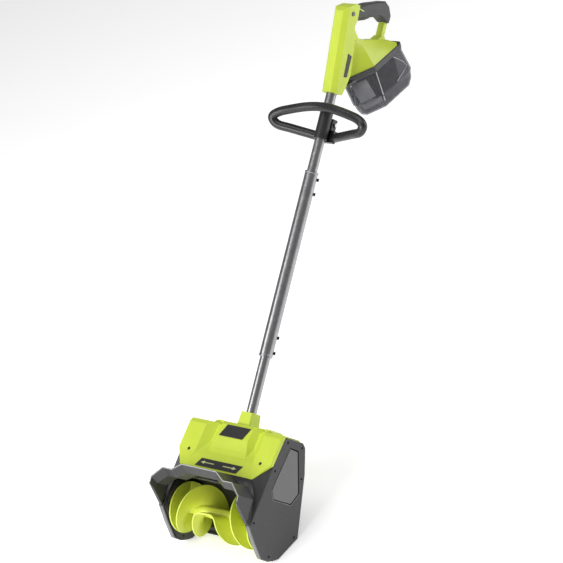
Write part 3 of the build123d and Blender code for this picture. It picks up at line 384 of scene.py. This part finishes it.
def blade_points(turn):
    """Rim track of one blade in the unrolled (x, rim length) plane."""
    slope = 2 * math.pi / PITCH
    left, right_start = math.radians(40), math.radians(-50)
    level_left = left + (PADDLE[0] + BLADE_X) * slope
    level_right = right_start + (BLADE_X - PADDLE[1]) * slope
    level = (level_left + level_right) / 2 + PADDLE_LIFT
    corners = [
        Vector((-BLADE_X, left * AUGER_R)),
        Vector((PADDLE[0] + (level - level_left) / slope, level * AUGER_R)),
        Vector((PADDLE[1] - (level - level_right) / slope, level * AUGER_R)),
        Vector((BLADE_X, right_start * AUGER_R)),
    ]
    return [(p.x, p.y / AUGER_R + turn) for p in rounded_track(corners, CORNER_R, TRACK_STEP)]


def auger_mesh():
    """Blades, hub and end discs as one piece."""
    points, faces = [], []
    root = HUB_R - 0.002
    radii = [root + (AUGER_R - RIM_DROP - root) * k / 9 for k in range(10)]
    for turn in (0, math.pi):
        track = blade_points(turn)
        start = len(points)
        loop = len(radii) * 2 + 3
        for i, (x, angle) in enumerate(track):
            x0, a0 = track[max(i - 1, 0)]
            x1, a1 = track[min(i + 1, len(track) - 1)]
            section = []
            for side in (1, -1):
                row = []
                for radius in radii:
                    flat = Vector((x1 - x0, (a1 - a0) * radius)).normalized()
                    half = side * BLADE / 2
                    row.append(around(x - flat.y * half, radius, angle + flat.x * half / radius))
                section += row if side == 1 else row[::-1]
                if side == 1:
                    for k in (-1, 0, 1):
                        flat = Vector((x1 - x0, (a1 - a0) * AUGER_R)).normalized()
                        half = -k * BLADE * 0.32
                        reach = AUGER_R - (0.0004 if k else 0.0)
                        edge = around(x - flat.y * half, reach, angle + flat.x * half / reach)
                        section.append(edge)
            points += section
        faces += grid_faces(len(track), loop, close_columns=True, start=start)
        faces.append(tuple(range(start, start + loop)))
        faces.append(tuple(range(len(points) - loop, len(points)))[::-1])
    end = BLADE_X + BLADE
    profile = [
        (-end, 0.00605), (-end, AUGER_R - 0.0008), (-end + 0.0008, AUGER_R),
        (-BLADE_X - 0.0008, AUGER_R), (-BLADE_X, AUGER_R - 0.0008),
        (-BLADE_X, HUB_R + 0.004), (-BLADE_X + 0.001, HUB_R + 0.0012),
        (-BLADE_X + 0.004, HUB_R), (-0.02, HUB_R + 0.0006),
    ]
    profile += [(-x, r) for x, r in reversed(profile)]
    start = len(points)
    for k in range(ROUND_STEPS):
        points += [around(x, r, 2 * math.pi * k / ROUND_STEPS) for x, r in profile]
    faces += grid_faces(ROUND_STEPS, len(profile), True, True, start)
    return points, faces


auger_skin = piece("auger_skin", *auger_mesh(), auger_green, "auger_rotor", "green_plastic")
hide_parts("auger")


def rim_bead(name, stations, closed):
    """Raised bead along a blade rim, eight-sided and smooth."""
    points = []
    count = len(stations)
    for i, spot in enumerate(stations):
        ahead = stations[(i + 1) % count if closed else min(i + 1, count - 1)]
        behind = stations[(i - 1) % count if closed else max(i - 1, 0)]
        tangent = (ahead - behind).normalized()
        outward = (spot - Vector((spot.x, auger_centre.y, auger_centre.z))).normalized()
        across = tangent.cross(outward).normalized()
        for k in range(8):
            a = math.pi * k / 4
            points.append(spot + across * math.cos(a) * 0.0022 + outward * math.sin(a) * 0.0013)
    return piece(
        name, points, grid_faces(count, 8, close_rows=closed, close_columns=True),
        rim_green, "auger_rotor", "green_plastic",
    )


for index, turn in enumerate((0, math.pi)):
    rim = [around(x, AUGER_R - RIM_DROP, a) for x, a in blade_points(turn)]
    rim_bead(f"auger_blade_rim_{index + 1}", rim, False)
for index, x in enumerate((-BLADE_X - BLADE / 2, BLADE_X + BLADE / 2)):
    ring = [around(x, AUGER_R - RIM_DROP, 2 * math.pi * k / ROUND_STEPS) for k in range(ROUND_STEPS)]
    rim_bead(f"auger_disc_rim_{index + 1}", ring, True)

# ---------------------------------------------------------------------------
# Deck between the visor frame and the top cover, one each side
# ---------------------------------------------------------------------------
DECK = [
    (0.052, 0.2235, 0.0815), (0.082, 0.2062, 0.0850), (0.1105, 0.2062, 0.0850),
    (0.1375, 0.1800, 0.0850), (0.1384, 0.1860, 0.0815), (0.1138, 0.2250, 0.0762),
    (0.052, 0.2252, 0.0765),
]
for side, name in ((1, "visor_deck_right"), (-1, "visor_deck_left")):
    outline = [world(side * x, s, f) for x, s, f in DECK]
    middle = sum(outline, Vector()) / len(outline)
    deck_points = outline + [middle]
    deck_faces = [(i, (i + 1) % len(outline), len(outline)) for i in range(len(outline))]
    piece(name, deck_points, deck_faces, dark, "machine", "dark_plastic", thickness=0.0022)

# ---------------------------------------------------------------------------
# Painted highlights: light grey strips along the front edges of the two side covers
# ---------------------------------------------------------------------------
EDGE_RUN = [(0.118, 0.078), (0.084, 0.044), (0.052, 0.007), (0.0505, -0.018), (0.055, -0.038)]
EDGE_ACROSS = (0.1318, 0.1432)
EDGE_LIFT = 0.0006
for side, name in ((1, "cover_edge_right"), (-1, "cover_edge_left")):
    strip = []
    for s, f in EDGE_RUN:
        strip += [world(side * x, s - EDGE_LIFT, f + EDGE_LIFT * 0.4) for x in EDGE_ACROSS]
    strip_faces = [(2 * i, 2 * i + 1, 2 * i + 3, 2 * i + 2) for i in range(len(EDGE_RUN) - 1)]
    piece(name, strip, strip_faces, edge_highlight_grey, "machine", "grey_plastic", thickness=0.0012)

# ---------------------------------------------------------------------------
# Raised lines: visor edge and panel lips carrying painted highlights, and the two width arrows
# ---------------------------------------------------------------------------
def line_bead(name, stations, radius, finish, slot_name):
    """Thin round bead along straight runs, riding on the machine."""
    points = []
    count = len(stations)
    for i, spot in enumerate(stations):
        ahead = (stations[min(i + 1, count - 1)] - spot).normalized()
        behind = (spot - stations[max(i - 1, 0)]).normalized()
        tangent = (ahead + behind).normalized()
        across = tangent.orthogonal().normalized()
        if i:
            across = (last - tangent * last.dot(tangent)).normalized()
        last = across
        lifted = tangent.cross(across)
        for k in range(8):
            a = math.pi * k / 4
            points.append(spot + (across * math.cos(a) + lifted * math.sin(a)) * radius)
    faces = grid_faces(count, 8, close_columns=True)
    faces += [tuple(range(8)), tuple(range(8 * count - 1, 8 * count - 9, -1))]
    return piece(name, points, faces, finish, "machine", slot_name)


VISOR_EDGE = [
    (0.1375, 0.1660), (0.1375, 0.1790), (0.1100, 0.2055), (0.0810, 0.2055), (0.0542, 0.2225),
]
VISOR_FRONT = 0.1370
visor_run = [world(x, s, VISOR_FRONT) for x, s in VISOR_EDGE]
visor_run += [Vector((-p.x, p.y, p.z)) for p in reversed(visor_run)]
# light grey bead along the visor's front edge: a painted highlight
line_bead("visor_edge_line", visor_run, 0.0010, visor_highlight_grey, "grey_plastic")

PANEL = [
    (0.321, 0.004), (0.319, -0.030), (0.221, -0.071),
    (0.191, -0.050), (0.191, 0.019), (0.214, 0.034),
]
GROOVE_X = 0.1426 + 0.0003
GROOVE_INSETS = (0.0002, 0.0030 * 1.15)
PANEL_LIP_X = 0.1447
centre_s = sum(s for s, _ in PANEL) / len(PANEL)
centre_f = sum(f for _, f in PANEL) / len(PANEL)
for side, tag in ((1, "right"), (-1, "left")):
    ring = []
    for s, f in PANEL:
        reach = math.hypot(s - centre_s, f - centre_f)
        for inset in GROOVE_INSETS:
            k = 1 - inset / reach
            near_s = centre_s + (s - centre_s) * k
            near_f = centre_f + (f - centre_f) * k
            ring.append(world(side * GROOVE_X, near_s, near_f))
    ring_faces = grid_faces(len(PANEL), 2, close_rows=True)
    piece(f"panel_groove_{tag}", ring, ring_faces, cell, "machine", "dark_plastic", thickness=0.0004)
    lip = [world(side * PANEL_LIP_X, s, f) for s, f in reversed(PANEL[2:])]
    # light grey bead along the panel lip: a painted highlight
    line_bead(f"panel_lip_{tag}", lip, 0.0008, edge_highlight_grey, "grey_plastic")

BADGE_TILT = 0.452
ARROW = [
    (0.014, 0.0012), (0.044, 0.0012), (0.044, 0.0045), (0.056, 0.0),
    (0.044, -0.0045), (0.044, -0.0012), (0.014, -0.0012),
]
badge_out = FRONT * math.cos(BADGE_TILT) + ALONG * math.sin(BADGE_TILT)
badge_up = badge_out.cross(Vector((1, 0, 0)))
badge_origin = world(0, 0.2405, 0.0687) + badge_out * 0.0018
for side, tag in ((1, "right"), (-1, "left")):
    outline = [badge_origin + Vector((side * u, 0, 0)) + badge_up * v for u, v in ARROW]
    solid = prism(outline, badge_out * 0.0002)
    piece(f"width_arrow_{tag}", *solid, pale, "machine", "green_plastic")

# ---------------------------------------------------------------------------
# Clear battery box: tapered upper part, step and lower tray, with light grey strips as painted
# highlights and light grey sheets inside the walls
# ---------------------------------------------------------------------------
BOX_LEVELS = [
    (0.7745, [(0.008, 0.818), (0.047, 0.884), (0.047, 0.990), (0.038, 1.003)]),
    (0.7060, [(0.0075, 0.8275), (0.0455, 0.886), (0.0475, 1.004), (0.040, 1.0170)]),
    (0.7030, [(0.0070, 0.8310), (0.0435, 0.888), (0.0455, 1.003), (0.038, 1.0150)]),
    (0.6860, [(0.0080, 0.8370), (0.0420, 0.889), (0.0440, 1.002), (0.036, 1.0130)]),
    (0.6680, [(0.0090, 0.8480), (0.0370, 0.892), (0.0380, 0.993), (0.031, 1.0040)]),
]
BOX_CENTRE_Y = 0.93
BOX_WALL = 0.0022
PALE_SHEET_SINK = -0.0030
PALE_SHEET_WALL = 0.0012


def box_ring(level, inset=0.0):
    """Closed ring of the box outline at one level, drawn in by inset."""
    z, half = level
    ring = [(x, y) for x, y in half] + [(-x, y) for x, y in reversed(half)]
    out = []
    for x, y in ring:
        dx = inset if x > 0 else -inset
        dy = inset * (1.2 if y < BOX_CENTRE_Y else -1.0)
        out.append(Vector((x - dx, y + dy, z)))
    return out


def box_shell():
    """Thin-walled open-topped box."""
    rings = [box_ring(level) for level in BOX_LEVELS]
    inner = [box_ring(level, BOX_WALL) for level in BOX_LEVELS]
    inner[-1] = [p + Vector((0, 0, BOX_WALL)) for p in inner[-1]]
    rings = rings + inner[::-1]
    points = [p for ring in rings for p in ring]
    n = len(rings[0])
    faces = grid_faces(len(rings), n, close_columns=True)
    split_at = len(BOX_LEVELS) - 1
    floor_quads = set(range(split_at * n, (split_at + 1) * n))
    faces = [f for i, f in enumerate(faces) if i not in floor_quads]
    faces.append(tuple(range(split_at * n, split_at * n + n)))
    faces.append(tuple(range((split_at + 1) * n, (split_at + 2) * n)))
    last = (len(rings) - 1) * n
    faces += [(i, (i + 1) % n, last + (i + 1) % n, last + i) for i in range(n)]
    return points, faces


box_skin = piece("battery_box_clear", *box_shell(), clear, "battery_lid", "smoke", bevel=0.0009)
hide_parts("battery_cover")


def box_point(level_a, level_b, t, corner_a, corner_b, u, side, lift=0.0):
    """Point on an outer face: t down from one level to the next, u along the face."""
    (za, pa), (zb, pb) = BOX_LEVELS[level_a], BOX_LEVELS[level_b]
    at = Vector((*pa[corner_a], za)).lerp(Vector((*pb[corner_a], zb)), t)
    to = Vector((*pa[corner_b], za)).lerp(Vector((*pb[corner_b], zb)), t)
    spot = at.lerp(to, u)
    out = Vector((to.y - at.y, at.x - to.x, 0)).normalized() * lift
    return Vector((side * (spot.x + out.x), spot.y + out.y, spot.z))


def highlight_strip(name, path, width):
    """Raised light grey strip of rounded section along a path: a painted highlight on the clear box.
    """
    points = []
    for i, spot in enumerate(path):
        tangent = (path[min(i + 1, len(path) - 1)] - path[max(i - 1, 0)]).normalized()
        outward = Vector((spot.x, spot.y - BOX_CENTRE_Y, 0)).normalized()
        across = tangent.cross(outward).normalized()
        outward = across.cross(tangent).normalized()
        for k in range(6):
            a = math.pi * k / 3
            sideways = across * math.cos(a) * width / 2
            points.append(spot + sideways + outward * math.sin(a) * width / 3)
    faces = grid_faces(len(path), 6, close_columns=True)
    faces += [tuple(range(6)), tuple(range(len(points) - 6, len(points)))]
    return piece(name, points, faces, highlight_strip_grey, "battery_lid", "smoke")


CORNER_STOPS = (0.04, 0.35, 0.7, 1.0)
TRAY_STOPS = (0.1, 0.9)
PANEL_RUN = ((0.05, 0.70), (0.45, 0.90), (0.70, 0.96), (0.80, 0.86), (0.97, 0.52))
PALE_SHEET = ((0.12, 0.08), (0.14, 0.62), (0.93, 0.74), (0.95, 0.14))
TRAY_PALE_SHEET = ((0.05, 0.1), (0.05, 0.93), (0.95, 0.93), (0.95, 0.1))
for side, tag in ((1, "right"), (-1, "left")):
    # light grey strips at the box corners, tray and panel: painted highlights
    corner = [box_point(0, 1, t, 1, 1, 0, side) for t in CORNER_STOPS]
    highlight_strip(f"box_corner_highlight_strip_{tag}", corner, 0.0019)
    tray = [box_point(2, 3, t, 1, 1, 0, side) for t in TRAY_STOPS]
    highlight_strip(f"box_tray_highlight_strip_{tag}", tray, 0.0019)
    path = [box_point(0, 1, t, 1, 2, u, side, 0.0001) for t, u in PANEL_RUN]
    highlight_strip(f"box_panel_highlight_strip_{tag}", path, 0.0016)
    # light grey sheets just inside the clear front walls make them read light grey
    for name, top, run in (("box_pale_sheet", 0, PALE_SHEET), ("box_tray_pale_sheet", 2, TRAY_PALE_SHEET)):
        sheet = [box_point(top, top + 1, t, 0, 1, u, side, PALE_SHEET_SINK) for t, u in run]
        piece(
            f"{name}_{tag}", sheet, [(0, 1, 2, 3)],
            pale_sheet_grey, "battery_lid", "smoke", thickness=PALE_SHEET_WALL,
        )

# ---------------------------------------------------------------------------
# Trim: grip stripe
# ---------------------------------------------------------------------------
STRIPE = ((1.3985, 0.0005), (1.3965, -0.002), (1.3955, -0.025), (1.3985, -0.023))
STRIPE_X = 0.0167
STRIPE_DEPTH = 0.0008
for side, tag in ((1, "right"), (-1, "left")):
    stripe = [world(side * STRIPE_X, s, f) for s, f in STRIPE]
    solid = prism(stripe, Vector((-side * STRIPE_DEPTH, 0, 0)))
    piece(f"grip_stripe_{tag}", *solid, rim_green, "machine", "green_plastic")

# ---------------------------------------------------------------------------
# Floor, light and camera
# ---------------------------------------------------------------------------
def floor():
    """Wide pale floor with a faint uneven sheen."""
    mesh = bpy.data.meshes.new("floor")
    reach = 14.0
    corners = [(-reach, -reach, 0), (reach, -reach, 0), (reach, reach, 0), (-reach, reach, 0)]
    mesh.from_pydata(corners, [], [(0, 1, 2, 3)])
    obj = bpy.data.objects.new("floor", mesh)
    scene.collection.objects.link(obj)
    g = Graph("pale_floor")
    tone = g.blend(g.noise(6), (0.93, 0.93, 0.93), (0.96, 0.96, 0.96))
    g.link(tone, g.shader.inputs["Base Color"])
    g.shader.inputs["Roughness"].default_value = 0.7
    g.shader.inputs["Emission Color"].default_value = (1, 1, 1, 1)
    g.shader.inputs["Emission Strength"].default_value = 0.40
    mesh.materials.append(g.mat)
    obj.location.z = -0.0004


floor()

AZIMUTH = math.radians(47.56655)
ELEVATION = math.radians(29.74344)
ROLL = math.radians(-19.69154)
DISTANCE = 5.98612
TARGET = Vector((0, 0.39992, 0.47519))
FOCAL_PX = 2500.0
FRAME_PX = 563.0

back = Vector((
    math.sin(AZIMUTH) * math.cos(ELEVATION),
    -math.cos(AZIMUTH) * math.cos(ELEVATION),
    math.sin(ELEVATION),
))
level_right = Vector((math.cos(AZIMUTH), math.sin(AZIMUTH), 0))
level_up = back.cross(level_right)
right = level_right * math.cos(ROLL) + level_up * math.sin(ROLL)
up = level_up * math.cos(ROLL) - level_right * math.sin(ROLL)

lens = bpy.data.cameras.new("camera")
camera = bpy.data.objects.new("camera", lens)
scene.collection.objects.link(camera)
lens.sensor_width = 36.0
lens.lens = FOCAL_PX * lens.sensor_width / FRAME_PX
lens.clip_end = 100.0
turned = Matrix((right, up, back)).transposed().to_4x4()
camera.matrix_world = Matrix.Translation(TARGET + back * DISTANCE) @ turned
scene.camera = camera


def softbox(name, sideways, upwards, toward, size, power):
    """Area light placed round the target by the view directions and aimed at it."""
    data = bpy.data.lights.new(name, "AREA")
    data.shape = "RECTANGLE"
    data.size, data.size_y = size
    data.energy = power
    lamp = bpy.data.objects.new(name, data)
    scene.collection.objects.link(lamp)
    lamp.location = TARGET + level_right * sideways + Vector((0, 0, 1)) * upwards + back * toward
    lamp.rotation_euler = (TARGET - lamp.location).to_track_quat("-Z", "Y").to_euler()


softbox("key_left", -3.2, 1.4, 1.0, (1.6, 3.0), 66)
softbox("fill_right", 3.2, 0.9, -0.2, (1.2, 3.0), 52)
softbox("top", 0.0, 3.6, -0.4, (3.0, 3.0), 52)
softbox("mouth_fill", -2.8, -0.3, 2.8, (1.8, 1.8), 74)

studio = bpy.data.worlds.new("studio")
scene.world = studio
studio.use_nodes = True
background = studio.node_tree.nodes["Background"]
background.inputs["Color"].default_value = (1, 1, 1, 1)
background.inputs["Strength"].default_value = 0.2

scene.view_settings.view_transform = "Standard"
scene.view_settings.look = "None"
